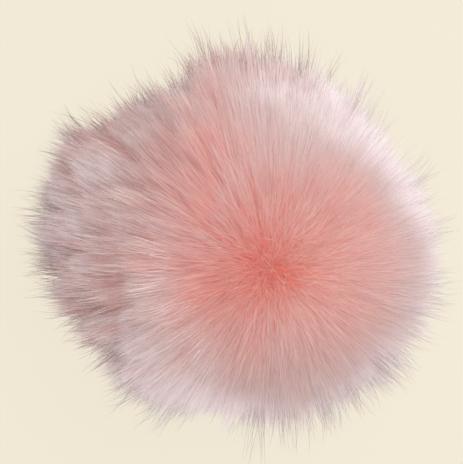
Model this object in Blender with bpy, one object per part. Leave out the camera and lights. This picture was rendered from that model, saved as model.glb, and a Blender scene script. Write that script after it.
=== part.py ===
"""A long-haired fur pom pom lying on its gathered base, with the sew-on press stud that fastens it.

The pile is one solid: a round heart of dense fur, drawn out face by face into three-sided locks that
part at a whorl near the top, arch outwards and rest on the floor around the base. The press stud is
the socket half, set under the gathered neck with its open side down.
"""

import math
import random

import bmesh
import bpy
from mathutils import Vector

# Driving sizes, in metres. The part stands on z = 0, +Z is up and the photograph looks straight down.
HEART_SHARE = 0.76  # of the pile's reach: deeper than this the fur is too dense for locks to part
HEART_DEPTH = 0.040  # reach of this dense heart straight down
HEART_HEIGHT = 0.041  # of its centre over the floor
TOP_HEIGHT = 0.098  # of the highest locks
BELLY_REACH = 0.058  # of the locks that point at the floor, before it bends them level
NECK_RADIUS = 0.0125  # the flat gathered base that carries the stud
NECK_SIDES = 9
WHORL = Vector((0.0105, -0.0075, 0.055))  # where the locks part, from the heart's centre
HEART_POINTS = 164  # each face between them grows one lock, but for the lowest
POINT_SCATTER = 0.16  # of the points' spacing
NECK_MARGIN = 0.75  # bare strip between the neck's edge and the nearest points, of their spacing
SEED = 9

# How far the locks reach from the middle, seen from above: (azimuth in degrees, reach).
OUTLINE = (
    (0, 0.0695),
    (22, 0.0630),
    (45, 0.0605),
    (68, 0.0625),
    (90, 0.0670),
    (112, 0.0600),
    (132, 0.0590),
    (152, 0.0685),
    (178, 0.0665),
    (200, 0.0600),
    (235, 0.0605),
    (270, 0.0615),
    (300, 0.0655),
    (335, 0.0715),
)
REACH_SPREAD = 0.045  # of a lock's reach, longer or shorter

# A lock from root to tip: (share of its length, width as a share of its root face).
LOCK_SHAPE = ((0.0, 0.82), (0.34, 0.92), (0.64, 0.78), (0.86, 0.44), (1.0, 0.03))
COMB = 0.62  # how strongly a lock leans away from the whorl by its tip
COMB_ENDS = -0.35  # a lock that points this far from the whorl isn't combed: the cosine between them
SAG = 0.16  # how strongly it droops by its tip
TIP_SCATTER = 0.10  # how far its lean strays to a side
BEND_ALLOWANCE = 1.07  # a bent lock is longer than its reach
LINE_STEPS = 16  # short steps in which a lock's line is followed
SPLAY = 0.3  # how strongly a lock on the floor turns outwards
LANDING = 0.8  # the most that a lock drops in a step just over the floor, of the step

# Under the belly the locks are pressed between the heart and the floor, so they are thinner.
BARE_BELOW = 0.0095  # a face of the heart lower than this grows none
FULL_ABOVE = 0.030  # and above this a lock is full
PRESSED_GIRTH = 0.45

# The press stud's turned section, from the rolled rim in to the socket's floor.
STUD_RADIUS = 0.0104
STUD_HEIGHT = 0.0034
SHEET = 0.0007  # the stamped metal
RIM_TUBE = 0.0008  # radius of the rolled rim
RIM_LIFT = 0.0006  # the rim's underside over the collar's face
RIM_TURN = 30  # degrees between the rim's corners
DISH_RADIUS = 0.0078  # where the flange rises into the rim
COLLAR_RADIUS = 0.0048
COLLAR_BEVEL = 0.0002
SOCKET_RADIUS = 0.0037
STUD_SIDES = 40
CREASE_ANGLE = 40  # degrees between two faces that meet in a sharp edge
SEAT_GAP = 0.0003  # between the stud and the neck

SEWING_HOLES = 6
HOLE_CIRCLE = 0.0072
HOLE_LENGTH = 0.0030
HOLE_WIDTH = 0.0020
HOLE_SIDES = 12

FUR_PINK = (0.80, 0.42, 0.39, 1.0)
BLACK_NICKEL = (0.06, 0.06, 0.065, 1.0)

HEART_CENTRE = Vector((0, 0, HEART_HEIGHT))
NECK_Z = STUD_HEIGHT + SEAT_GAP


def clear_scene():
    for thing in list(bpy.data.objects):
        bpy.data.objects.remove(thing, do_unlink=True)


def finish(name, colour, roughness, metallic):
    material = bpy.data.materials.new(name)
    material.use_nodes = True
    shader = material.node_tree.nodes["Principled BSDF"]
    shader.inputs["Base Color"].default_value = colour
    shader.inputs["Roughness"].default_value = roughness
    shader.inputs["Metallic"].default_value = metallic
    return material


def object_of(name, bm, material):
    mesh = bpy.data.meshes.new(name)
    bm.to_mesh(mesh)
    bm.free()
    mesh.materials.append(material)
    thing = bpy.data.objects.new(name, mesh)
    bpy.context.scene.collection.objects.link(thing)
    return thing


def outline_reach(azimuth):
    """The outline table read at any azimuth in degrees, eased between its rows."""
    rows = OUTLINE + ((OUTLINE[0][0] + 360, OUTLINE[0][1]),)
    azimuth %= 360
    for (start, near), (end, far) in zip(rows, rows[1:]):
        if start <= azimuth <= end:
            share = (azimuth - start) / (end - start)
            return near + (far - near) * share * share * (3 - 2 * share)
    return OUTLINE[0][1]


def reach(direction):
    """How far a lock reaches from the heart's centre: the outline at the sides, less above and below."""
    across = math.hypot(direction.x, direction.y)
    side = outline_reach(math.degrees(math.atan2(direction.y, direction.x)))
    pole = TOP_HEIGHT - HEART_HEIGHT if direction.z > 0 else BELLY_REACH
    return 1 / math.hypot(across / side, direction.z / pole)


def heart_reach(direction):
    """How far the dense heart reaches: a share of the pile's reach, drawn in towards the floor."""
    side = reach(direction) * HEART_SHARE
    down = max(0, -direction.z)
    return side + (HEART_DEPTH - side) * down


def neck_directions():
    """The middle and the round edge of the flat neck, seen from the heart's centre."""
    found = [Vector((0, 0, -1))]
    for k in range(NECK_SIDES):
        turn = 2 * math.pi * k / NECK_SIDES
        edge = Vector((NECK_RADIUS * math.cos(turn), NECK_RADIUS * math.sin(turn), NECK_Z - HEART_HEIGHT))
        found.append(edge.normalized())
    return found


def pile_directions(dice):
    """Evenly scattered directions all round, but for the neck and a strip beside it."""
    found = []
    golden = math.pi * (3 - math.sqrt(5))
    spacing = math.sqrt(4 * math.pi / HEART_POINTS)
    clear_of_neck = math.cos(math.atan(NECK_RADIUS / (HEART_HEIGHT - NECK_Z)) + NECK_MARGIN * spacing)
    for k in range(HEART_POINTS):
        z = 1 - 2 * (k + 0.5) / HEART_POINTS
        across = math.sqrt(1 - z * z)
        way = Vector((across * math.cos(golden * k), across * math.sin(golden * k), z))
        stray = Vector([dice.gauss(0, 1) for _ in range(3)]) * POINT_SCATTER * spacing
        way = (way + stray).normalized()
        if -way.z < clear_of_neck:
            found.append(way)
    return found


def heart(dice):
    """The closed ball of dense fur, with its flat neck, as a mesh of small triangles."""
    bm = bmesh.new()
    for way in pile_directions(dice):
        bm.verts.new(way)
    neck = [bm.verts.new(way) for way in neck_directions()]
    bmesh.ops.convex_hull(bm, input=bm.verts)
    for vert in bm.verts:
        length = (HEART_HEIGHT - NECK_Z) / -vert.co.z if vert in neck else heart_reach(vert.co)
        vert.co = HEART_CENTRE + vert.co * length
    bmesh.ops.recalc_face_normals(bm, faces=bm.faces)
    return bm


def lock_line(root, way, length, thickness, stray):
    """Points from root to tip: straight out at first, then leaning from the whorl, and level on the floor."""
    pole = WHORL.normalized()
    nearness = way.dot(pole)
    combed = COMB * max(0, nearness - COMB_ENDS) / (1 - COMB_ENDS)
    lean = (way * nearness - pole) * combed + stray + Vector((0, 0, -SAG))
    outwards = Vector((way.x, way.y, 0)).normalized()
    points = [root.copy()]
    step = length / LINE_STEPS
    for k in range(LINE_STEPS):
        share = (k + 0.5) / LINE_STEPS
        heading = (way + lean * share).normalized()
        spot = points[-1] + heading * step
        floor = lock_width(share) * thickness
        if spot.z < floor:
            flat = Vector((heading.x, heading.y, 0)) + outwards * SPLAY
            spot = points[-1] + flat.normalized() * step
            spot.z = max(floor, points[-1].z - step * LANDING)
        points.append(spot)
    return points


def lock_width(share):
    for (start, near), (end, far) in zip(LOCK_SHAPE, LOCK_SHAPE[1:]):
        if start <= share <= end:
            return near + (far - near) * (share - start) / (end - start)
    return LOCK_SHAPE[-1][1]


def along(points, share):
    """The spot at this share of a line of evenly spaced points, and its heading there."""
    place = min(share * (len(points) - 1), len(points) - 1.001)
    k = int(place)
    spot = points[k].lerp(points[k + 1], place - k)
    before, after = points[max(k - 1, 0)], points[min(k + 2, len(points) - 1)]
    return spot, (after - before).normalized()


def grow_lock(bm, face, dice):
    """Draws one face of the heart out into a lock, ring by ring. A ring never dips below the floor."""
    middle = face.calc_center_median()
    normal = face.normal.copy()
    spokes = [vert.co - middle for vert in face.verts]
    way = (middle - HEART_CENTRE).normalized()
    full = min(1, (middle.z - BARE_BELOW) / (FULL_ABOVE - BARE_BELOW))
    girth = PRESSED_GIRTH + (1 - PRESSED_GIRTH) * full
    stray = Vector([dice.uniform(-1, 1) for _ in range(3)]) * TIP_SCATTER * full
    length = reach(way) * dice.uniform(1 - REACH_SPREAD, 1 + REACH_SPREAD) - heart_reach(way)
    length *= BEND_ALLOWANCE
    thickness = girth * sum(spoke.length for spoke in spokes) / (2 * len(spokes))
    line = lock_line(middle, way, length, thickness, stray)
    for share, width in LOCK_SHAPE:
        face = bmesh.ops.extrude_discrete_faces(bm, faces=[face])["faces"][0]
        spot, heading = along(line, share)
        turn = normal.rotation_difference(heading if share else normal)
        ring = [spot + turn @ spoke * width * (girth if share else 1) for spoke in spokes]
        lift = max(0, -min(point.z for point in ring))
        for vert, point in zip(face.verts, ring):
            vert.co = point + Vector((0, 0, lift))


def centre_over_origin(bm):
    for axis in (0, 1):
        values = [vert.co[axis] for vert in bm.verts]
        offset = (min(values) + max(values)) / 2
        for vert in bm.verts:
            vert.co[axis] -= offset


def pom_fur():
    dice = random.Random(SEED)
    bm = heart(dice)
    for face in list(bm.faces):
        if face.calc_center_median().z > BARE_BELOW:
            grow_lock(bm, face, dice)
    centre_over_origin(bm)
    bmesh.ops.recalc_face_normals(bm, faces=bm.faces)
    return object_of("pom_fur", bm, finish("pink fur", FUR_PINK, 0.85, 0.0))


def stud_section():
    """(radius, height) points round the stud's closed section, over its back to its open side."""
    rim_middle = STUD_RADIUS - RIM_TUBE
    rim_z = RIM_LIFT + RIM_TUBE
    back = STUD_HEIGHT
    flange_back = rim_z + SHEET / 2
    section = [
        (0, back),
        (SOCKET_RADIUS, back),
        (COLLAR_RADIUS, back - SHEET),
        (COLLAR_RADIUS + SHEET, flange_back),
    ]
    for turn in range(120, -181, -RIM_TURN):
        angle = math.radians(turn)
        section.append((rim_middle + RIM_TUBE * math.cos(angle), rim_z + RIM_TUBE * math.sin(angle)))
    section += [
        (DISH_RADIUS, flange_back - SHEET),
        (COLLAR_RADIUS + COLLAR_BEVEL, flange_back - SHEET),
        (COLLAR_RADIUS, COLLAR_BEVEL),
        (COLLAR_RADIUS - COLLAR_BEVEL, 0),
        (SOCKET_RADIUS, 0),
        (SOCKET_RADIUS, back - SHEET),
        (0, back - SHEET),
    ]
    return section


def sewing_hole_cutter(turn):
    """An oblong cutter through the flange, its long side round the hole circle."""
    bm = bmesh.new()
    half = (HOLE_LENGTH - HOLE_WIDTH) / 2
    radial = Vector((math.cos(turn), math.sin(turn), 0))
    round_the_ring = Vector((-radial.y, radial.x, 0))
    verts = []
    for k in range(HOLE_SIDES):
        angle = 2 * math.pi * (k + 0.5) / HOLE_SIDES
        end = half if math.sin(angle) > 0 else -half
        spot = radial * (HOLE_CIRCLE + math.cos(angle) * HOLE_WIDTH / 2)
        spot += round_the_ring * (end + math.sin(angle) * HOLE_WIDTH / 2)
        verts.append(bm.verts.new(spot - Vector((0, 0, STUD_HEIGHT))))
    drawn = bmesh.ops.extrude_face_region(bm, geom=[bm.faces.new(verts)])
    raised = [item for item in drawn["geom"] if isinstance(item, bmesh.types.BMVert)]
    bmesh.ops.translate(bm, verts=raised, vec=(0, 0, 3 * STUD_HEIGHT))
    bmesh.ops.recalc_face_normals(bm, faces=bm.faces)
    return bm


def press_stud():
    bm = bmesh.new()
    verts = [bm.verts.new((radius, 0, z)) for radius, z in stud_section()]
    edges = [bm.edges.new(pair) for pair in zip(verts, verts[1:])]
    bmesh.ops.spin(
        bm,
        geom=verts + edges,
        axis=(0, 0, 1),
        cent=(0, 0, 0),
        angle=2 * math.pi,
        steps=STUD_SIDES,
        use_merge=True,
    )
    bmesh.ops.remove_doubles(bm, verts=bm.verts, dist=1e-6)
    bmesh.ops.recalc_face_normals(bm, faces=bm.faces)
    stud = object_of("press_stud", bm, finish("black nickel", BLACK_NICKEL, 0.25, 1.0))
    for k in range(SEWING_HOLES):
        cutter_mesh = sewing_hole_cutter(2 * math.pi * (k + 0.5) / SEWING_HOLES)
        cutter = object_of(f"sewing_hole_cutter_{k + 1}", cutter_mesh, stud.data.materials[0])
        cutter.hide_render = True
        cutter.display_type = "WIRE"
        hole = stud.modifiers.new(f"sewing hole {k + 1}", "BOOLEAN")
        hole.operation = "DIFFERENCE"
        hole.object = cutter
    stud.data.shade_smooth()
    stud.data.set_sharp_from_angle(angle=math.radians(CREASE_ANGLE))
    return stud


def main():
    clear_scene()
    pom_fur()
    press_stud()


main()
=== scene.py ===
import math

import bmesh
import bpy
import numpy as np
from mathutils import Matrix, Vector


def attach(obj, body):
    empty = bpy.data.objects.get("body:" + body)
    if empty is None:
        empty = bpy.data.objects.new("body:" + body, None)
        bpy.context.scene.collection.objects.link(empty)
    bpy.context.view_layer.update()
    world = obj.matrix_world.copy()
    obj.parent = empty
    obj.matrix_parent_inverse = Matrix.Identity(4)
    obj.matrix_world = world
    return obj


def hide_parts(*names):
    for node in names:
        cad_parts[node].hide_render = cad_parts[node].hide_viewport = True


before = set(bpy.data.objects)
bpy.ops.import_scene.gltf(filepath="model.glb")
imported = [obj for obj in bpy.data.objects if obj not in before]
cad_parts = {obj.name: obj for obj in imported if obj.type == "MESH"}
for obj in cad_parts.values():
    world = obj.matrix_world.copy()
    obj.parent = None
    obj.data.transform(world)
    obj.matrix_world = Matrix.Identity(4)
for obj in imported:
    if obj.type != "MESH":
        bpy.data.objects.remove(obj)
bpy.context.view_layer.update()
print("frame loaded:", ", ".join(sorted(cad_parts)))


def unit(vectors):
    return vectors / np.maximum(np.linalg.norm(vectors, axis=-1, keepdims=True), 1e-9)


def smooth(values, low, high):
    share = np.clip((values - low) / (high - low), 0, 1)
    return share * share * (3 - 2 * share)


# The round of fur, in metres. The floor is z = 0, and the photograph looks straight down on it.
pile = {
    "seed": 11,
    "centre": (-0.0017, -0.0007, 0.041),  # of the stuffed ball
    "skinRadius": 0.0275,
    "neckRadius": 0.0122,  # where the skin is gathered flat over the stud
    "neckHeight": 0.0038,
    "top": 0.0975,  # height of the highest hair ends
    "belly": 0.058,  # reach of the hair that the floor bends level
    "whorl": (0.0215, -0.0162, 0.055),  # where the hair parts, from the centre
    "comb": 1.75,  # lean away from the whorl by the tip
    "combFull": 0.60,  # at this turn from the whorl, in radians
    "combFades": (0.9, 2.5),  # and fades out between these turns
    "whorlStray": 1.6,  # how much more each hair strays in the whorl
    "drift": 0.12,  # lean that neighbouring hair shares
    "patches": 0.09,  # paler and deeper patches
    # paler or deeper towards an azimuth in degrees
    "paleSides": (
        (0, 0.30), (40, 0.24), (60, 0.08), (75, -0.08), (92, -0.26), (115, -0.18), (150, -0.12),
        (180, -0.02), (225, 0.12), (250, 0.24), (270, 0.40), (315, 0.35),
    ),
    # deeper beside the whorl, towards an azimuth round it
    "coralSides": (
        (0, 0.02), (60, 0.04), (90, 0.14), (120, 0.36), (150, 0.60), (180, 0.50),
        (215, 0.06), (250, -0.04), (300, 0.04), (330, 0.12),
    ),
    # duskier towards an azimuth
    # painted shade: hair darker towards an azimuth, on the sides turned away from the lamp
    "duskSides": (
        (60, 0), (92, 0.4), (125, 0.8), (155, 0.8), (185, 0.95), (212, 1.2), (240, 0.7), (265, 0.1), (280, 0),
    ),
    # painted shade: hair darker below the whorl, where the surface falls away into shade, towards an azimuth
    # round it
    "paintedShadeBelowWhorl": (
        (0, 0.4), (35, 0), (100, 0.05), (150, 0.3), (205, 0.4), (255, 0.8), (300, 0.85), (335, 0.7),
    ),
    # shallow hollows: azimuth and height angle in degrees, depth as a share of the reach, width in radians
    "hollows": ((203, 52, 0.20, 0.22), (222, 38, 0.14, 0.20), (322, 50, 0.07, 0.35), (290, 62, 0.05, 0.30)),
    "sag": 0.14,  # how strongly the hair droops
    "splay": 0.35,  # how strongly hair on the floor turns outwards
    "bend": 1.27,  # an arched hair is longer than its reach
    "limit": 0.0755,  # the farthest that hair reaches from the ball's axis
    # reach seen from above: azimuth in degrees, metres
    "outline": (
        (0, 0.0685), (22, 0.0595), (45, 0.0600), (68, 0.0615), (90, 0.0620), (110, 0.0525), (132, 0.0550),
        (152, 0.0610), (178, 0.0615), (198, 0.0610), (225, 0.0575), (248, 0.0610), (270, 0.0585),
        (300, 0.0645), (335, 0.0725),
    ),
}
centre = np.array(pile["centre"])
whorl = unit(np.array(pile["whorl"]))
neckDepth = centre[2] - pile["neckHeight"]
neckAngle = math.atan(pile["neckRadius"] / neckDepth)


def skinReach(ways):  # a ball drawn down to its neck, like a pear
    tilt = np.arccos(np.clip(-ways[:, 2], -1, 1))  # from straight down
    neck = neckDepth / np.cos(np.minimum(tilt, neckAngle))
    return neck + (pile["skinRadius"] - neck) * smooth(tilt, neckAngle, 1.25)


def hollowed(ways):  # share of the reach that the hollows leave
    left = np.ones(len(ways))
    for azimuth, height, depth, width in pile["hollows"]:
        turn, rise = math.radians(azimuth), math.radians(height)
        middle = np.array([math.cos(rise) * math.cos(turn), math.cos(rise) * math.sin(turn), math.sin(rise)])
        apart = np.arccos(np.clip(ways @ middle, -1, 1))
        left -= depth * np.exp(-((apart / width) ** 2))
    return left


def furReach(ways):
    azimuths = [row[0] for row in pile["outline"]]
    reaches = [row[1] for row in pile["outline"]]
    turn = np.degrees(np.arctan2(ways[:, 1], ways[:, 0])) % 360
    side = np.interp(turn, azimuths, reaches, period=360)
    pole = np.where(ways[:, 2] > 0, pile["top"] - centre[2], pile["belly"])
    across = np.hypot(ways[:, 0], ways[:, 1])
    return hollowed(ways) / np.sqrt((across / side) ** 2 + (ways[:, 2] / pole) ** 2)


def scatteredWays(count, dice, spread=0.5):  # evenly scattered directions, none in the neck
    k = np.arange(count) + 0.5
    z = 1 - 2 * k / count
    turn = math.pi * (3 - math.sqrt(5)) * k
    across = np.sqrt(1 - z * z)
    ways = np.stack([across * np.cos(turn), across * np.sin(turn), z], 1)
    ways = unit(ways + dice.normal(0, spread * math.sqrt(4 * math.pi / count), ways.shape))
    return ways[-ways[:, 2] < math.cos(neckAngle * 1.06)]


def waves(seed, count, frequency):  # a few broad waves over the ball, the same for every layer
    source = np.random.default_rng(seed)
    along = source.normal(0, frequency, (count, 3))
    phases = source.uniform(0, 2 * math.pi, count)
    strengths = source.normal(0, 1, (count, 3)) / math.sqrt(count)
    return lambda ways: np.sin(ways @ along.T + phases) @ strengths


broadDrift = waves(5, 10, 3.2)
fineDrift = waves(6, 14, 8.0)
patchField = waves(8, 14, 4.5)


def drift(ways):
    return (broadDrift(ways) + 0.7 * fineDrift(ways)) * pile["drift"]


def combedLines(ways, lengths, strays, floors, steps=12):  # hair lines (hair, point, xyz) from the root
    turn = np.arccos(np.clip(ways @ whorl, -1, 1))  # round the ball from the whorl
    away = unit(ways * (ways @ whorl)[:, None] - whorl)
    comb = pile["comb"] * np.minimum(turn / pile["combFull"], 1) ** 0.85
    comb = comb * (1 - smooth(turn, *pile["combFades"]))
    lean = away * comb[:, None] + strays + drift(ways) + np.array([0, 0, -pile["sag"]])
    outwards = unit(ways * np.array([1, 1, 0]))
    step = (lengths / steps)[:, None]
    spots = [centre + ways * skinReach(ways)[:, None]]
    for k in range(steps):
        heading = unit(ways + lean * (k + 0.5) / steps)
        spot = spots[-1] + heading * step
        flat = unit(heading * np.array([1, 1, 0]) + outwards * pile["splay"])
        level = spots[-1] + flat * step
        level[:, 2] = np.maximum(floors, spots[-1][:, 2] - step[:, 0] * 0.8)
        spots.append(np.where((spot[:, 2] < floors)[:, None], level, spot))
    return np.stack(spots, 1)


def nearest(ways, guides):  # the guide that each hair is rooted closest to
    found = np.empty(len(ways), int)
    for start in range(0, len(ways), 4000):
        found[start:start + 4000] = np.argmax(ways[start:start + 4000] @ guides.T, 1)
    return found


def pulled(lines, guideLines, pull, power):  # gathers hair to its guide, more towards the tip
    share = np.linspace(0, 1, lines.shape[1])[None, :, None] ** power
    return lines + (guideLines - lines) * share * pull[:, None, None]


def atShares(lines, shares):  # reads the lines at a few shares of their length
    place = np.array(shares) * (lines.shape[1] - 1)
    low = np.minimum(place.astype(int), lines.shape[1] - 2)
    part = (place - low)[None, :, None]
    return lines[:, low] * (1 - part) + lines[:, low + 1] * part


# The locks and strands that the hair gathers into.
gathers = {
    "locks": 380,
    "strands": 8000,
    "lockStray": 0.15,
    "strandStray": 0.08,
    "lengthSpread": 0.13,  # of the locks
    "strandFrom": 0.86,  # shares of the reach between which strands end
    "strandTo": 1.3,
    "strandTail": 0.036,  # how slowly strands grow rarer with length, and how much more on the shaggy side
    "shaggyTail": 0.032,
    "shaggySide": (-0.95, 0.15, 0.1),  # the side where the locks part most
    # share of the strands that carry a wisp, by azimuth in degrees
    "wispSides": (
        (0, 0.06), (30, 0.05), (65, 0.08), (95, 0.16), (130, 0.12), (170, 0.18), (215, 0.14),
        (245, 0.18), (275, 0.08), (300, 0.14), (335, 0.16),
    ),
    "wispLongest": 1.32,  # share of the reach
    "wispTail": 0.07,  # how slowly wisps grow rarer with length
    "wispStray": 0.22,
}
dice = np.random.default_rng(pile["seed"])
shaggy = unit(np.array(gathers["shaggySide"]))


def lengthsOf(ways, factors):
    skinned = skinReach(ways)
    return np.minimum((furReach(ways) - skinned) * factors, pile["limit"] - skinned) * pile["bend"]


lockWays = scatteredWays(gathers["locks"], dice, 0.3)
lockReach = dice.uniform(1 - gathers["lengthSpread"], 1 + gathers["lengthSpread"], len(lockWays))
lockLines = combedLines(
    lockWays,
    lengthsOf(lockWays, lockReach),
    dice.normal(0, gathers["lockStray"], lockWays.shape),
    0.0006 + dice.exponential(0.0010, len(lockWays)),
)
strandWays = scatteredWays(gathers["strands"], dice, 0.4)
strandLock = nearest(strandWays, lockWays)
strandShag = smooth(strandWays @ shaggy, -0.3, 0.95)
strandTurn = np.degrees(np.arctan2(strandWays[:, 1], strandWays[:, 0])) % 360
# most strands end short of the outline, and fewer and fewer stand out of it
strandTail = gathers["strandTail"] + gathers["shaggyTail"] * strandShag
strandReach = gathers["strandFrom"] + dice.exponential(1, len(strandWays)) * strandTail
strandReach = np.minimum(strandReach, gathers["strandTo"])
strandLines = combedLines(
    strandWays,
    lengthsOf(strandWays, strandReach),
    dice.normal(0, gathers["strandStray"], strandWays.shape) * (0.35 + 0.65 * strandShag[:, None]),
    0.0006 + dice.exponential(0.0012, len(strandWays)),
)
strandLines = pulled(strandLines, lockLines[strandLock], 0.05 + 0.50 * strandShag, 1.5)
# wisps, each over a strand, reach farther out of the sides
wispy = dice.random(len(strandWays)) < np.interp(strandTurn, *zip(*gathers["wispSides"]), period=360)
wispy &= (strandWays[:, 2] > -0.4) & (strandWays[:, 2] < 0.5)
wispReach = np.minimum(1.0 + dice.exponential(gathers["wispTail"], len(strandWays)), gathers["wispLongest"])
wispLines = combedLines(
    strandWays,
    lengthsOf(strandWays, wispReach),
    dice.normal(0, gathers["wispStray"], strandWays.shape),
    0.0006 + dice.exponential(0.004, len(strandWays)),
)
strandTone = 0.62 + dice.normal(0, 1, len(strandWays)) * (0.06 + 0.20 * strandShag)
lockPaling = dice.normal(0, 0.5, len(lockWays))
strandOff = np.arccos(np.clip(strandWays @ whorl, -1, 1))  # from the whorl, in radians
strandRound = np.degrees(np.arctan2(strandWays[:, 1] - whorl[1], strandWays[:, 0] - whorl[0])) % 360
strandPaling = lockPaling[strandLock] + patchField(strandWays)[:, 0] + dice.normal(0, 0.4, len(strandWays))
strandPaling *= pile["patches"]
strandPaling += np.interp(strandTurn, *zip(*pile["paleSides"]), period=360)
strandCoral = np.interp(strandRound, *zip(*pile["coralSides"]), period=360)
strandPaling -= strandCoral * (1 - smooth(strandOff, 0.22, 0.60))
# painted shade below the whorl, carried in the hair's tone
strandPaintedShade = np.interp(strandRound, *zip(*pile["paintedShadeBelowWhorl"]), period=360)
strandTone -= 0.5 * strandPaintedShade * smooth(strandOff, 0.08, 0.25) * (1 - smooth(strandOff, 0.7, 1.2))
# painted shade on the sides turned away from the lamp, carried in the hair's tone
strandTone -= 0.5 * np.interp(strandTurn, *zip(*pile["duskSides"]), period=360) * smooth(strandOff, 0.4, 0.9)
# painted shade: hair in the hollows keeps a deeper colour, so the valleys look darker
strandPaling -= 1.2 * (1 - hollowed(strandWays))
print("strands combed:", len(strandWays), "in", len(lockWays), "locks")


def newGroup(name, inputs, outputs):
    tree = bpy.data.node_groups.new(name, "ShaderNodeTree")
    for label, kind, value in inputs:
        socket = tree.interface.new_socket(label, in_out="INPUT", socket_type=kind)
        socket.default_value = value
    for label, kind in outputs:
        tree.interface.new_socket(label, in_out="OUTPUT", socket_type=kind)
    return tree, tree.nodes.new("NodeGroupInput"), tree.nodes.new("NodeGroupOutput")


def mapRange(tree, value, fromLow, fromHigh, toLow, toHigh, kind="SMOOTHSTEP"):
    node = tree.nodes.new("ShaderNodeMapRange")
    node.interpolation_type = kind
    limits = {"From Min": fromLow, "From Max": fromHigh, "To Min": toLow, "To Max": toHigh}
    for label, number in limits.items():
        node.inputs[label].default_value = number
    tree.links.new(value, node.inputs["Value"])
    return node.outputs["Result"]


def mixColour(tree, share, first, second, kind="MIX"):
    node = tree.nodes.new("ShaderNodeMix")
    node.data_type = "RGBA"
    node.blend_type = kind
    sockets = {socket.identifier: socket for socket in node.inputs}
    for value, label in ((share, "Factor_Float"), (first, "A_Color"), (second, "B_Color")):
        if isinstance(value, bpy.types.NodeSocket):
            tree.links.new(value, sockets[label])
        else:
            sockets[label].default_value = value
    return next(socket for socket in node.outputs if socket.identifier == "Result_Color")


def furTintGroup():  # colour along a hair: the map's v runs from root to tip, its u is the hair's own tone, which also carries painted shade
    tree, given, out = newGroup(
        "hair tint",
        [
            ("Root", "NodeSocketColor", (0.8, 0.3, 0.25, 1)),
            ("Middle", "NodeSocketColor", (0.8, 0.5, 0.45, 1)),
            ("Tip", "NodeSocketColor", (0.75, 0.65, 0.65, 1)),
            ("Bleached End", "NodeSocketColor", (0.8, 0.76, 0.79, 1)),
            ("Middle From", "NodeSocketFloat", 0.45),
            ("Tone Depth", "NodeSocketFloat", 0.3),
        ],
        [("Colour", "NodeSocketColor"), ("Roughness", "NodeSocketFloat")],
    )
    place = tree.nodes.new("ShaderNodeUVMap")
    place.uv_map = "OFBake"
    parts = tree.nodes.new("ShaderNodeSeparateXYZ")
    tree.links.new(place.outputs["UV"], parts.inputs["Vector"])
    tone, along = parts.outputs["X"], parts.outputs["Y"]
    rooted = tree.nodes.new("ShaderNodeMapRange")
    rooted.interpolation_type = "SMOOTHSTEP"
    tree.links.new(along, rooted.inputs["Value"])
    tree.links.new(given.outputs["Middle From"], rooted.inputs["From Max"])
    lower = mixColour(tree, rooted.outputs["Result"], given.outputs["Root"], given.outputs["Middle"])
    upper = mixColour(tree, mapRange(tree, along, 0.40, 0.86, 0, 1), lower, given.outputs["Tip"])
    whole = mixColour(tree, mapRange(tree, along, 0.80, 0.98, 0, 1), upper, given.outputs["Bleached End"])
    deep = tree.nodes.new("ShaderNodeMath")
    deep.operation = "MULTIPLY"
    tree.links.new(mapRange(tree, tone, 0, 1, 1, 0, "LINEAR"), deep.inputs[0])
    tree.links.new(given.outputs["Tone Depth"], deep.inputs[1])
    # a lower tone darkens the hair: its own random tone and the painted shade
    toned = mixColour(tree, deep.outputs[0], whole, (0.56, 0.42, 0.40, 1), "MULTIPLY")
    tree.links.new(toned, out.inputs["Colour"])
    tree.links.new(mapRange(tree, along, 0, 1, 0.75, 0.5, "LINEAR"), out.inputs["Roughness"])
    return tree


hairTint = furTintGroup()


def furMaterial(name, finish):
    material = bpy.data.materials.new(name)
    material.use_nodes = True
    tree = material.node_tree
    shader = tree.nodes["Principled BSDF"]
    tint = tree.nodes.new("ShaderNodeGroup")
    tint.node_tree = hairTint
    for label, value in finish["tint"].items():
        tint.inputs[label].default_value = value
    tree.links.new(tint.outputs["Colour"], shader.inputs["Base Color"])
    tree.links.new(tint.outputs["Roughness"], shader.inputs["Roughness"])
    shader.inputs["Specular IOR Level"].default_value = finish["gloss"]
    shader.inputs["Sheen Weight"].default_value = finish["sheen"]
    shader.inputs["Sheen Roughness"].default_value = 0.5
    tree.links.new(tint.outputs["Colour"], shader.inputs["Emission Color"])
    shader.inputs["Emission Strength"].default_value = finish["paintedGlow"]  # painted glow: emission that stands in for the light soft fur passes on inside
    return material


pinkPile = furMaterial("pink pile", {
    "tint": {
        "Root": (0.80, 0.32, 0.27, 1),
        "Middle": (0.79, 0.49, 0.46, 1),
        "Tip": (0.72, 0.61, 0.605, 1),
        "Bleached End": (0.90, 0.845, 0.87, 1),
        "Middle From": 0.5,
        "Tone Depth": 0.45,
    },
    "gloss": 0.12,
    "sheen": 0.1,
    "paintedGlow": 0.24,
})
coralUnderfur = furMaterial("coral underfur", {
    "tint": {
        "Root": (0.85, 0.28, 0.23, 1),
        "Middle": (0.86, 0.36, 0.31, 1),
        "Tip": (0.84, 0.58, 0.56, 1),
        "Bleached End": (0.80, 0.64, 0.63, 1),
        "Middle From": 0.6,
        "Tone Depth": 0.25,
    },
    "gloss": 0.1,
    "sheen": 0.1,
    "paintedGlow": 0.34,
})
coralCrown = furMaterial("coral crown", {
    "tint": {
        "Root": (0.81, 0.40, 0.34, 1),
        "Middle": (0.79, 0.50, 0.45, 1),
        "Tip": (0.77, 0.59, 0.56, 1),
        "Bleached End": (0.80, 0.64, 0.63, 1),
        "Middle From": 0.5,
        "Tone Depth": 0.25,
    },
    "gloss": 0.1,
    "sheen": 0.1,
    "paintedGlow": 0.31,
})
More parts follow.
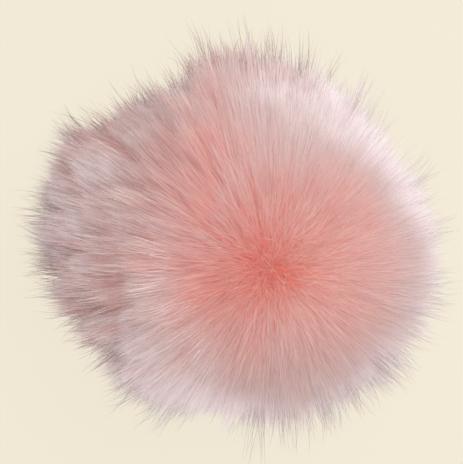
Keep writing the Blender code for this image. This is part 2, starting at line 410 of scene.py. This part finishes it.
paleGuard = furMaterial("pale guard hair", {
    "tint": {
        "Root": (0.82, 0.34, 0.29, 1),
        "Middle": (0.82, 0.52, 0.50, 1),
        "Tip": (0.68, 0.58, 0.59, 1),
        "Bleached End": (0.70, 0.64, 0.67, 1),
        "Middle From": 0.5,
        "Tone Depth": 0.45,
    },
    "gloss": 0.3,
    "sheen": 0.0,
    "paintedGlow": 0.2,
})
# painted shade: dark tips for the shadowed grooves between the tufts
fringePaintedShade = furMaterial("mauve fringe", {
    "tint": {
        "Root": (0.80, 0.32, 0.28, 1),
        "Middle": (0.76, 0.46, 0.44, 1),
        "Tip": (0.54, 0.43, 0.43, 1),
        "Bleached End": (0.60, 0.52, 0.54, 1),
        "Middle From": 0.5,
        "Tone Depth": 0.5,
    },
    "gloss": 0.3,
    "sheen": 0.0,
    "paintedGlow": 0.12,
})
# painted highlight: pale colours for the hairs that catch the light
paintedHighlightStrands = furMaterial("bright strands", {
    "tint": {
        "Root": (0.86, 0.46, 0.41, 1),
        "Middle": (0.90, 0.68, 0.65, 1),
        "Tip": (0.92, 0.82, 0.82, 1),
        "Bleached End": (0.92, 0.86, 0.89, 1),
        "Middle From": 0.5,
        "Tone Depth": 0.3,
    },
    "gloss": 0.3,
    "sheen": 0.1,
    "paintedGlow": 0.26,
})
# painted shade: darker wisp colours for the side away from the lamp, besides the dark hairs that stand out
# there
wispsPaintedShade = furMaterial("dusky wisps", {
    "tint": {
        "Root": (0.80, 0.32, 0.28, 1),
        "Middle": (0.66, 0.40, 0.38, 1),
        "Tip": (0.46, 0.36, 0.36, 1),
        "Bleached End": (0.48, 0.41, 0.43, 1),
        "Middle From": 0.5,
        "Tone Depth": 0.4,
    },
    "gloss": 0.3,
    "sheen": 0.0,
    "paintedGlow": 0.1,
})
# painted light: paler wisp colours for the lit side
wispsPaintedLight = furMaterial("pale wisps", {
    "tint": {
        "Root": (0.82, 0.34, 0.29, 1),
        "Middle": (0.80, 0.56, 0.54, 1),
        "Tip": (0.62, 0.54, 0.56, 1),
        "Bleached End": (0.66, 0.60, 0.65, 1),
        "Middle From": 0.5,
        "Tone Depth": 0.7,
    },
    "gloss": 0.3,
    "sheen": 0.0,
    "paintedGlow": 0.18,
})
print("fur finishes made")


def addPiece(name, mesh, material, node):
    mesh.materials.append(material)
    piece = bpy.data.objects.new(name, mesh)
    bpy.context.scene.collection.objects.link(piece)
    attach(piece, "root")
    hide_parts(node)
    return piece


def hairPiece(name, lines, ways, layer, tones, pales, material):  # flat hairs, or ones of three sides
    count, points = lines.shape[:2]
    rings, sides = points - 1, layer["sides"]
    tangents = unit(np.gradient(lines, axis=1))
    facing = unit(ways + dice.normal(0, 0.08, ways.shape))[:, None, :]  # a flat hair turns its face outwards
    across = unit(np.cross(tangents, facing))
    other = np.cross(tangents, across)
    roll = dice.normal(0, layer["roll"], (count, 1, 1))
    half = layer["halfWidth"] * dice.uniform(0.75, 1.2, (count, 1)) * np.array(layer["profile"])[None, :rings]
    corners = []
    for k in range(sides):
        angle = roll + 2 * math.pi * k / sides
        spoke = across[:, :rings] * np.cos(angle) + other[:, :rings] * np.sin(angle)
        corners.append(lines[:, :rings] + half[..., None] * spoke)
    rung = np.stack(corners, 2).reshape(count, rings * sides, 3)
    verts = np.concatenate([rung, lines[:, -1:]], 1)
    verts[..., 2] = np.maximum(verts[..., 2], 0.00005)
    tip = rings * sides
    each = tip + 1
    pairs = [(1, 0)] if sides == 2 else [(k, (k + 1) % sides) for k in range(sides)]
    loops, sizes = [], []
    for base in range(0, tip - sides, sides):
        for k, n in pairs:
            loops += [base + k, base + n, base + sides + n, base + sides + k]
            sizes.append(4)
    for k, n in pairs:
        loops += [tip - sides + k, tip - sides + n, tip]
        sizes.append(3)
    loops = np.array(loops)
    level = np.minimum(loops // sides, rings)
    corner = np.where(loops == tip, 1, loops % sides)
    every = (loops[None, :] + each * np.arange(count)[:, None]).ravel()
    starts = np.concatenate([[0], np.cumsum(np.tile(sizes, count))[:-1]])
    mesh = bpy.data.meshes.new(name)
    mesh.vertices.add(count * each)
    mesh.vertices.foreach_set("co", verts.astype(np.float32).ravel())
    mesh.loops.add(len(every))
    mesh.loops.foreach_set("vertex_index", every.astype(np.int32))
    mesh.polygons.add(len(starts))
    mesh.polygons.foreach_set("loop_start", starts.astype(np.int32))
    mesh.update(calc_edges=True)
    mesh.polygons.foreach_set("use_smooth", np.ones(len(starts), bool))
    u = np.clip(tones, 0, 1)[:, None] * 0.96 + 0.015 * corner[None, :]
    v = pales[:, level] * 0.98
    uvMap = mesh.uv_layers.new(name="OFBake")
    uvMap.data.foreach_set("uv", np.stack([u, v], -1).astype(np.float32).ravel())
    addPiece(name, mesh, material, "pom_fur")
    print(name, count, "hairs,", sum(size - 2 for size in sizes) * count, "triangles")


def furLayer(name, layer, material):
    ways = scatteredWays(layer["hairs"], dice, 0.6)
    keep = dice.random(len(ways)) < np.where(ways[:, 2] < -0.35, layer["bellyShare"], 1)
    if "round" in layer:
        keep &= ways @ unit(np.array(layer["round"])) > math.cos(layer["within"])
    ways = ways[keep]
    strand = nearest(ways, strandWays)
    reaches, guides = strandReach, strandLines
    if layer.get("inWisps"):
        ways, strand = ways[wispy[strand]], strand[wispy[strand]]
        reaches, guides = wispReach, wispLines
    count = len(ways)
    factors = dice.uniform(layer["shortest"], layer["longest"], count)
    factors *= 1 + (reaches[strand] - 1) * layer["strandLengths"]
    floors = 0.0003 + dice.exponential(0.0014, count)
    offWhorl = np.arccos(np.clip(ways @ whorl, -1, 1))
    tousled = 1 + pile["whorlStray"] * (1 - smooth(offWhorl, 0.15, 0.6))
    strays = dice.normal(0, layer["stray"], ways.shape) * tousled[:, None]
    lines = combedLines(ways, lengthsOf(ways, factors), strays, floors)
    pull = np.clip(dice.normal(layer["pull"], 0.08, count) + layer["shagPull"] * strandShag[strand], 0, 0.92)
    lines = pulled(lines, guides[strand], pull, 1.5)
    share = np.linspace(0, 1, lines.shape[1])[None, :, None]
    wave = dice.normal(0, layer["frizz"], (2, count, 1, 3))
    lines = lines + wave[0] * share ** 2 + wave[1] * np.sin(math.pi * share) * 0.6
    lines = atShares(lines, layer["shares"])
    roots = lines[:, :1]
    across = np.linalg.norm(lines[:, -1, :2] - centre[:2], axis=1)
    lines = roots + (lines - roots) * np.minimum(1, pile["limit"] / across)[:, None, None]
    lines[..., 2] = np.maximum(lines[..., 2], 0.0002)
    paling = 0.42 + 0.58 * smooth(offWhorl, 0.12, 1.10) + strandPaling[strand]
    pales = np.clip(np.array(layer["shares"])[None, :] * np.clip(paling, 0.1, 1.25)[:, None], 0, 1)
    spread = 0.22 + 0.26 * strandShag[strand]
    tones = strandTone[strand] + (dice.random(count) - 0.5) * spread
    hairPiece(name, lines, ways, layer, tones, pales, material)


skin = {
    "rings": 44,
    "sides": 96,
    "pleats": 19,
    "pleatDepth": 0.0009,
}


def buildSkin():  # the stuffed ball of backing cloth, drawn shut in pleats over the stud
    down = np.linspace(0, math.pi, skin["rings"] + 1)[1:-1]
    turn = np.linspace(0, 2 * math.pi, skin["sides"], endpoint=False)
    tilt, turns = np.meshgrid(down, turn, indexing="ij")
    parts = [np.sin(tilt) * np.cos(turns), np.sin(tilt) * np.sin(turns), -np.cos(tilt)]
    ways = np.stack(parts, -1).reshape(-1, 3)
    ways = np.concatenate([[[0, 0, -1.0]], ways, [[0, 0, 1.0]]])
    reach = skinReach(ways)
    fromNeck = np.arccos(np.clip(-ways[:, 2], -1, 1))
    fold = 0.5 + 0.5 * np.cos(skin["pleats"] * np.arctan2(ways[:, 1], ways[:, 0]))
    drawn = smooth(fromNeck, 0.02, neckAngle) * (1 - smooth(fromNeck, neckAngle, 1.3))
    spots = centre + ways * (reach - skin["pleatDepth"] * fold * drawn - 0.0002)[:, None]
    faces, sides = [], skin["sides"]
    for k in range(sides):
        n = (k + 1) % sides
        faces.append((0, 1 + n, 1 + k))
        for j in range(len(down) - 1):
            low, high = 1 + j * sides, 1 + (j + 1) * sides
            faces.append((low + k, low + n, high + n, high + k))
        last = 1 + (len(down) - 1) * sides
        faces.append((last + k, last + n, len(spots) - 1))
    mesh = bpy.data.meshes.new("gatheredSkin")
    mesh.from_pydata(spots.tolist(), [], faces)
    mesh.shade_smooth()
    addPiece("gatheredSkin", mesh, backingCloth, "pom_fur")


def backingMaterial():
    material = bpy.data.materials.new("knitted backing")
    material.use_nodes = True
    tree = material.node_tree
    shader = tree.nodes["Principled BSDF"]
    place = tree.nodes.new("ShaderNodeTexCoord")
    knit = tree.nodes.new("ShaderNodeTexWave")
    knit.wave_type = "BANDS"
    knit.bands_direction = "Z"
    knit.inputs["Scale"].default_value = 420
    knit.inputs["Distortion"].default_value = 6
    knit.inputs["Detail Scale"].default_value = 3
    tree.links.new(place.outputs["Object"], knit.inputs["Vector"])
    shade = mixColour(tree, knit.outputs["Fac"], (0.80, 0.24, 0.19, 1), (0.92, 0.38, 0.32, 1))
    tree.links.new(shade, shader.inputs["Base Color"])
    bump = tree.nodes.new("ShaderNodeBump")
    bump.inputs["Strength"].default_value = 0.4
    bump.inputs["Distance"].default_value = 0.0003
    tree.links.new(knit.outputs["Fac"], bump.inputs["Height"])
    tree.links.new(bump.outputs["Normal"], shader.inputs["Normal"])
    tree.links.new(mapRange(tree, knit.outputs["Fac"], 0, 1, 0.9, 0.7), shader.inputs["Roughness"])
    return material


backingCloth = backingMaterial()
buildSkin()
print("skin gathered")

underfur = {  # stout hair that closes the pile below
    "hairs": 12000,
    "sides": 2,
    "roll": 0.6,
    "bellyShare": 0.8,  # of the hair under the belly that is grown
    "shortest": 0.62,
    "longest": 0.84,
    "strandLengths": 0,  # how far a hair follows its strand's length
    "stray": 0.14,
    "pull": 0.15,  # into strands, and how much more on the shaggy side
    "shagPull": 0.3,
    "frizz": 0.0008,
    "halfWidth": 0.00028,
    "shares": (0.0, 0.45, 0.78, 1.0),  # of the length, root to tip
    "profile": (1.0, 0.9, 0.55),
}
furLayer("underfur", underfur, coralUnderfur)

crown = {  # short hair that stands up in the whorl
    "hairs": 110000,
    "round": pile["whorl"],
    "within": 0.32,  # radians
    "sides": 3,
    "roll": 3.0,
    "bellyShare": 0,
    "shortest": 0.72,
    "longest": 0.95,
    "strandLengths": 0,
    "stray": 0.24,
    "pull": 0.1,
    "shagPull": 0,
    "frizz": 0.0012,
    "halfWidth": 0.00012,
    "shares": (0.0, 0.42, 0.74, 1.0),
    "profile": (0.9, 1.0, 0.7),
}
furLayer("whorlCrown", crown, coralCrown)

pileHair = {  # long flat hair, combed away from the whorl
    "hairs": 36800,
    "sides": 2,
    "roll": 0.3,
    "bellyShare": 0.7,
    "shortest": 0.93,
    "longest": 1.07,
    "strandLengths": 1,
    "stray": 0.08,
    "pull": 0.32,
    "shagPull": 0.56,
    "frizz": 0.0009,
    "halfWidth": 0.00011,
    "shares": (0.0, 0.42, 0.74, 1.0),
    "profile": (0.9, 1.0, 0.7),
}
for coat in range(4):
    furLayer(f"pileCoat{coat + 1}", pileHair, pinkPile)

brightHair = {  # painted highlight: hairs coloured pale to stand for the single hairs that catch the light between the tufts
    "hairs": 30000,
    "round": (-0.86, -0.50, 0.20),
    "within": 1.15,
    "sides": 2,
    "roll": 0.5,
    "bellyShare": 0.3,
    "shortest": 0.94,
    "longest": 1.08,
    "strandLengths": 1,
    "stray": 0.11,
    "pull": 0.5,
    "shagPull": 0.2,
    "frizz": 0.0013,
    "halfWidth": 0.00011,
    "shares": (0.0, 0.42, 0.74, 1.0),
    "profile": (0.8, 1.0, 0.8),
}
furLayer("brightHairs", brightHair, paintedHighlightStrands)

guardHair = {  # sparse long hair that stands out of the pile
    "hairs": 7500,
    "sides": 2,
    "roll": 0.8,
    "bellyShare": 0.3,
    "shortest": 0.98,
    "longest": 1.30,
    "strandLengths": 0.7,
    "stray": 0.15,
    "pull": 0.6,
    "shagPull": 0.2,
    "frizz": 0.0016,
    "halfWidth": 0.00010,
    "shares": (0.0, 0.38, 0.64, 0.84, 1.0),
    "profile": (0.7, 1.0, 0.95, 0.75),
}
furLayer("guardHairs", guardHair, paleGuard)

fringe = {  # painted shade: darker hair standing in for the shadow in the grooves between the tufts of the shaggy side
    "hairs": 14000,
    "round": gathers["shaggySide"],
    "within": 1.2,
    "sides": 2,
    "roll": 0.8,
    "bellyShare": 0.3,
    "shortest": 0.96,
    "longest": 1.22,
    "strandLengths": 1,
    "stray": 0.12,
    "pull": 0.5,
    "shagPull": 0.3,
    "frizz": 0.0014,
    "halfWidth": 0.00009,
    "shares": (0.0, 0.38, 0.64, 0.84, 1.0),
    "profile": (0.7, 1.0, 0.95, 0.75),
}
furLayer("shaggyFringe", fringe, fringePaintedShade)

wispHair = {  # thin long hairs that stand out round the outline
    "hairs": 100000,
    "within": 1.57,
    "inWisps": True,  # only those rooted in a wisp are grown
    "sides": 2,
    "roll": 0.8,
    "bellyShare": 0.5,
    "shortest": 0.90,
    "longest": 1.06,
    "strandLengths": 1,
    "stray": 0.14,
    "pull": 0.58,
    "shagPull": 0.1,
    "frizz": 0.0026,
    "halfWidth": 0.00008,
    "shares": (0.0, 0.38, 0.64, 0.84, 1.0),
    "profile": (0.7, 1.0, 0.95, 0.75),
}
# The wisps come as a shaded and a lit copy: darker on the side away from the lamp, partly the dark hairs seen
# there and partly painted shade; paler on the lit side, painted light.
furLayer("wispsPaintedShade", {**wispHair, "round": (-0.75, 0.6, 0.1)}, wispsPaintedShade)
furLayer("wispsPaintedLight", {**wispHair, "round": (0.75, -0.6, -0.1)}, wispsPaintedLight)
print("pile grown")


# The press stud under the neck, open side down.
stud = {
    "sides": 96,
    "holes": 6,
    "holeCircle": 0.0072,
    "holeLength": 0.0030,
    "holeWidth": 0.0020,
    "rimRadius": 0.0096,  # to the middle of the rolled edge
    "rimHeight": 0.0014,
    "rimTube": 0.0008,
    "lipRadius": 0.00425,  # the collar's rounded lip
    "lipTube": 0.00052,
    "wireRadius": 0.00022,
    "wireApart": 0.0021,  # each spring wire from the middle
    "wireBow": 0.00025,  # how much farther out its middle lies
    "wireHalf": 0.0031,  # half its length
    "wireHeight": 0.0011,
    "cutFrom": -0.002,  # the sewing holes' cutters start below the stud
    "cutHeight": 0.008,
}


def turnedMesh(name, section, sides):  # (radius, height) points, turned about Z
    bm = bmesh.new()
    points = [bm.verts.new((radius, 0, z)) for radius, z in section]
    edges = [bm.edges.new(pair) for pair in zip(points, points[1:])]
    whole = {"axis": (0, 0, 1), "cent": (0, 0, 0), "angle": 2 * math.pi, "steps": sides, "use_merge": True}
    bmesh.ops.spin(bm, geom=points + edges, **whole)
    bmesh.ops.remove_doubles(bm, verts=bm.verts, dist=1e-6)
    bmesh.ops.recalc_face_normals(bm, faces=bm.faces)
    mesh = bpy.data.meshes.new(name)
    bm.to_mesh(mesh)
    bm.free()
    return mesh


def arc(middle, radius, start, end, count):
    turns = np.radians(np.linspace(start, end, count))
    return [(middle[0] + radius * math.cos(turn), middle[1] + radius * math.sin(turn)) for turn in turns]


def tubesMesh(name, paths, radius, sides):  # round wire or thread along each path, ends closed
    verts, faces = [], []
    for path in paths:
        points = np.array(path)
        tangents = unit(np.gradient(points, axis=0))
        across = unit(np.cross(tangents, [0.3, 0.2, 0.93]))
        other = np.cross(tangents, across)
        base = len(verts)
        for point, u, v in zip(points, across, other):
            for k in range(sides):
                turn = 2 * math.pi * k / sides
                verts.append(point + radius * (u * math.cos(turn) + v * math.sin(turn)))
        for j in range(len(points) - 1):
            for k in range(sides):
                n = (k + 1) % sides
                row = base + j * sides
                faces.append((row + k, row + n, row + sides + n, row + sides + k))
        faces.append(tuple(base + k for k in reversed(range(sides))))
        faces.append(tuple(base + (len(points) - 1) * sides + k for k in range(sides)))
    mesh = bpy.data.meshes.new(name)
    mesh.from_pydata([list(vert) for vert in verts], [], faces)
    mesh.shade_smooth()
    return mesh


def handlingWearGroup():  # faint scuffs that a plated fastener gets from handling
    tree, given, out = newGroup(
        "handling wear",
        [
            ("Plating", "NodeSocketColor", (0.07, 0.07, 0.075, 1)),
            ("Worn Plating", "NodeSocketColor", (0.16, 0.155, 0.15, 1)),
            ("Scuff Scale", "NodeSocketFloat", 900.0),
            ("Polished", "NodeSocketFloat", 0.16),
            ("Dulled", "NodeSocketFloat", 0.34),
        ],
        [("Colour", "NodeSocketColor"), ("Roughness", "NodeSocketFloat"), ("Height", "NodeSocketFloat")],
    )
    place = tree.nodes.new("ShaderNodeTexCoord")
    scuff = tree.nodes.new("ShaderNodeTexNoise")
    scuff.inputs["Detail"].default_value = 6
    tree.links.new(place.outputs["Object"], scuff.inputs["Vector"])
    tree.links.new(given.outputs["Scuff Scale"], scuff.inputs["Scale"])
    worn = mapRange(tree, scuff.outputs["Fac"], 0.35, 0.7, 0, 1)
    plating = mixColour(tree, worn, given.outputs["Plating"], given.outputs["Worn Plating"])
    tree.links.new(plating, out.inputs["Colour"])
    dull = tree.nodes.new("ShaderNodeMapRange")
    tree.links.new(worn, dull.inputs["Value"])
    tree.links.new(given.outputs["Polished"], dull.inputs["To Min"])
    tree.links.new(given.outputs["Dulled"], dull.inputs["To Max"])
    tree.links.new(dull.outputs["Result"], out.inputs["Roughness"])
    tree.links.new(scuff.outputs["Fac"], out.inputs["Height"])
    return tree


handlingWear = handlingWearGroup()


def metalMaterial(name, finish):
    material = bpy.data.materials.new(name)
    material.use_nodes = True
    tree = material.node_tree
    shader = tree.nodes["Principled BSDF"]
    wear = tree.nodes.new("ShaderNodeGroup")
    wear.node_tree = handlingWear
    for label, value in finish.items():
        wear.inputs[label].default_value = value
    tree.links.new(wear.outputs["Colour"], shader.inputs["Base Color"])
    tree.links.new(wear.outputs["Roughness"], shader.inputs["Roughness"])
    shader.inputs["Metallic"].default_value = 1.0
    bump = tree.nodes.new("ShaderNodeBump")
    bump.inputs["Strength"].default_value = 0.15
    bump.inputs["Distance"].default_value = 0.00005
    tree.links.new(wear.outputs["Height"], bump.inputs["Height"])
    tree.links.new(bump.outputs["Normal"], shader.inputs["Normal"])
    return material


blackNickel = metalMaterial("black nickel plating", {
    "Plating": (0.07, 0.07, 0.075, 1),
    "Worn Plating": (0.16, 0.155, 0.15, 1),
    "Scuff Scale": 900,
    "Polished": 0.16,
    "Dulled": 0.34,
})
springSteel = metalMaterial("spring steel", {
    "Plating": (0.35, 0.34, 0.33, 1),
    "Worn Plating": (0.55, 0.54, 0.52, 1),
    "Scuff Scale": 1400,
    "Polished": 0.22,
    "Dulled": 0.4,
})


def holeCutter(turn):
    bm = bmesh.new()
    half = (stud["holeLength"] - stud["holeWidth"]) / 2
    outline = []
    for k in range(24):
        angle = 2 * math.pi * (k + 0.5) / 24
        out = stud["holeCircle"] + math.cos(angle) * stud["holeWidth"] / 2
        side = math.copysign(half, math.sin(angle)) + math.sin(angle) * stud["holeWidth"] / 2
        x = out * math.cos(turn) - side * math.sin(turn)
        y = out * math.sin(turn) + side * math.cos(turn)
        outline.append(bm.verts.new((x, y, stud["cutFrom"])))
    drawn = bmesh.ops.extrude_face_region(bm, geom=[bm.faces.new(outline)])
    raised = [item for item in drawn["geom"] if isinstance(item, bmesh.types.BMVert)]
    bmesh.ops.translate(bm, verts=raised, vec=(0, 0, stud["cutHeight"]))
    bmesh.ops.recalc_face_normals(bm, faces=bm.faces)
    mesh = bpy.data.meshes.new("holeCutter")
    bm.to_mesh(mesh)
    bm.free()
    cutter = bpy.data.objects.new("holeCutter", mesh)
    bpy.context.scene.collection.objects.link(cutter)
    return cutter


def buildStud():
    rim = (stud["rimRadius"], stud["rimHeight"])
    lip = (stud["lipRadius"], stud["lipTube"])
    # (radius, height) points from the back's middle over the rim and the collar to the middle of the socket
    section = [(0, 0.00335), (0.0028, 0.00335), (0.0035, 0.00325), (0.0041, 0.0029), (0.0045, 0.0024)]
    section += [(0.0049, 0.00195), (0.0054, 0.00172), (0.0072, 0.00168), (0.0084, 0.00180)]
    section += arc(rim, stud["rimTube"], 130, -180, 22)
    section += [(0.0084, 0.00118), (0.0072, 0.00104), (0.0056, 0.00106), (0.0050, 0.00098)]
    section += arc(lip, stud["lipTube"], 5, -185, 14)
    section += [(0.0037, 0.0012), (0.0037, 0.0024), (0.0034, 0.00265), (0, 0.00265)]
    cup = turnedMesh("studShell", section, stud["sides"])
    shell = addPiece("studShell", cup, blackNickel, "press_stud")
    cutters = [holeCutter(2 * math.pi * (k + 0.5) / stud["holes"]) for k in range(stud["holes"])]
    for cutter in cutters:
        hole = shell.modifiers.new("sewing hole", "BOOLEAN")
        hole.operation = "DIFFERENCE"
        hole.object = cutter
    view = bpy.context.evaluated_depsgraph_get()
    cut = bpy.data.meshes.new_from_object(shell.evaluated_get(view))
    shell.modifiers.clear()
    shell.data = cut
    cut.shade_smooth()
    cut.set_sharp_from_angle(angle=math.radians(38))
    for cutter in cutters:
        bpy.data.objects.remove(cutter, do_unlink=True)
    disc = [(0, 0.0016), (0.0012, 0.0016), (0.00155, 0.0017), (0.00175, 0.0020)]
    disc += [(0.0018, 0.0026), (0, 0.0026)]
    knob = turnedMesh("studDisc", disc, 40)
    knob.shade_smooth()
    addPiece("studDisc", knob, springSteel, "press_stud")
    wires = []
    for side in (-1, 1):
        along = np.linspace(-1, 1, 15)
        bow = side * (stud["wireApart"] + stud["wireBow"] * (1 - along ** 2))
        wires.append(np.stack([along * stud["wireHalf"], bow, stud["wireHeight"] + 0 * along], 1))
    springs = tubesMesh("studSprings", wires, stud["wireRadius"], 10)
    addPiece("studSprings", springs, springSteel, "press_stud")


thread = {
    "radius": 0.00013,
    "strands": 3,  # through each hole
    "apart": 0.00042,
    # from inside the neck, down through the hole, under the rim and up into the neck: (radius, height)
    "path": (
        (0.0072, 0.0040), (0.0072, 0.0017), (0.0074, 0.0008), (0.0083, 0.00038),
        (0.0098, 0.00036), (0.0110, 0.00085), (0.0116, 0.0020), (0.0118, 0.0042),
    ),
}


def threadMaterial():
    material = bpy.data.materials.new("coral sewing thread")
    material.use_nodes = True
    tree = material.node_tree
    shader = tree.nodes["Principled BSDF"]
    place = tree.nodes.new("ShaderNodeTexCoord")
    twist = tree.nodes.new("ShaderNodeTexWave")
    twist.bands_direction = "DIAGONAL"
    twist.inputs["Scale"].default_value = 1500
    tree.links.new(place.outputs["Object"], twist.inputs["Vector"])
    strand = mixColour(tree, twist.outputs["Fac"], (0.55, 0.17, 0.14, 1), (0.85, 0.36, 0.31, 1))
    tree.links.new(strand, shader.inputs["Base Color"])
    tree.links.new(mapRange(tree, twist.outputs["Fac"], 0, 1, 0.9, 0.6), shader.inputs["Roughness"])
    return material


def buildStitches():
    paths = []
    for hole in range(stud["holes"]):
        turn = 2 * math.pi * (hole + 0.5) / stud["holes"]
        for k in range(thread["strands"]):
            side = (k - (thread["strands"] - 1) / 2) * thread["apart"]
            path = []
            for j, (out, z) in enumerate(thread["path"]):
                slip = side * (1 + 0.12 * j)
                x = out * math.cos(turn) - slip * math.sin(turn)
                y = out * math.sin(turn) + slip * math.cos(turn)
                path.append((x, y, z))
            paths.append(path)
    stitches = tubesMesh("studStitches", paths, thread["radius"], 6)
    addPiece("studStitches", stitches, threadMaterial(), "pom_fur")


buildStud()
buildStitches()
print("press stud sewn on")


studio = {
    "floor": (0.885, 0.82, 0.675, 1),
    "floorSize": 3.0,
    "floorHeight": -0.0003,  # just under the hair that lies on it
    "roomLight": 0.49,
    "roomColour": (1.0, 0.985, 0.97, 1),
    "lampColour": (1.0, 0.97, 0.94),
    "cameraOver": (-0.0042, 0.0030),  # the photograph's middle
    "cameraHeight": 0.471,
    "lens": 100.3,
    # name, diameter, watts and place, each turned to the middle of the floor
    "lamps": (("softbox", 0.5, 2.0, (0.25, 0.27, 0.52)), ("lowFill", 0.5, 0.8, (-0.10, -0.50, 0.16))),
}


def buildFloor():
    mesh = bpy.data.meshes.new("studioFloor")
    half = studio["floorSize"] / 2
    corners = [(-half, -half, 0), (half, -half, 0), (half, half, 0), (-half, half, 0)]
    mesh.from_pydata(corners, [], [(0, 1, 2, 3)])
    floor = bpy.data.objects.new("studioFloor", mesh)
    bpy.context.scene.collection.objects.link(floor)
    floor.location.z = studio["floorHeight"]
    material = bpy.data.materials.new("cream paper")
    material.use_nodes = True
    tree = material.node_tree
    shader = tree.nodes["Principled BSDF"]
    shader.inputs["Base Color"].default_value = [0.12 * part for part in studio["floor"][:3]] + [1]
    shader.inputs["Roughness"].default_value = 0.9
    shader.inputs["Specular IOR Level"].default_value = 0.1
    shader.inputs["Emission Color"].default_value = studio["floor"]
    shader.inputs["Emission Strength"].default_value = 0.9
    side = tree.nodes.new("ShaderNodeNewGeometry")
    clear = tree.nodes.new("ShaderNodeBsdfTransparent")
    seen = tree.nodes.new("ShaderNodeMixShader")  # the stud can be looked at through the paper from below
    tree.links.new(side.outputs["Backfacing"], seen.inputs["Fac"])
    tree.links.new(shader.outputs["BSDF"], seen.inputs[1])
    tree.links.new(clear.outputs["BSDF"], seen.inputs[2])
    tree.links.new(seen.outputs["Shader"], tree.nodes["Material Output"].inputs["Surface"])
    mesh.materials.append(material)


def buildLights():
    world = bpy.data.worlds.new("soft studio")
    bpy.context.scene.world = world
    world.use_nodes = True
    background = world.node_tree.nodes["Background"]
    background.inputs["Color"].default_value = studio["roomColour"]
    background.inputs["Strength"].default_value = studio["roomLight"]
    for name, size, energy, place in studio["lamps"]:
        lamp = bpy.data.lights.new(name, "AREA")
        lamp.shape = "DISK"
        lamp.size = size
        lamp.energy = energy
        lamp.color = studio["lampColour"]
        light = bpy.data.objects.new(name, lamp)
        bpy.context.scene.collection.objects.link(light)
        light.location = place
        light.rotation_euler = Vector(place).to_track_quat("Z", "Y").to_euler()


def buildCamera():
    lens = bpy.data.cameras.new("photoCamera")
    lens.lens = studio["lens"]
    lens.sensor_width = 36
    lens.clip_start = 0.01
    camera = bpy.data.objects.new("photoCamera", lens)
    camera.location = (*studio["cameraOver"], studio["cameraHeight"])
    bpy.context.scene.collection.objects.link(camera)
    bpy.context.scene.camera = camera


buildFloor()
buildLights()
buildCamera()
bpy.context.scene.view_settings.view_transform = "Standard"
print("studio set")
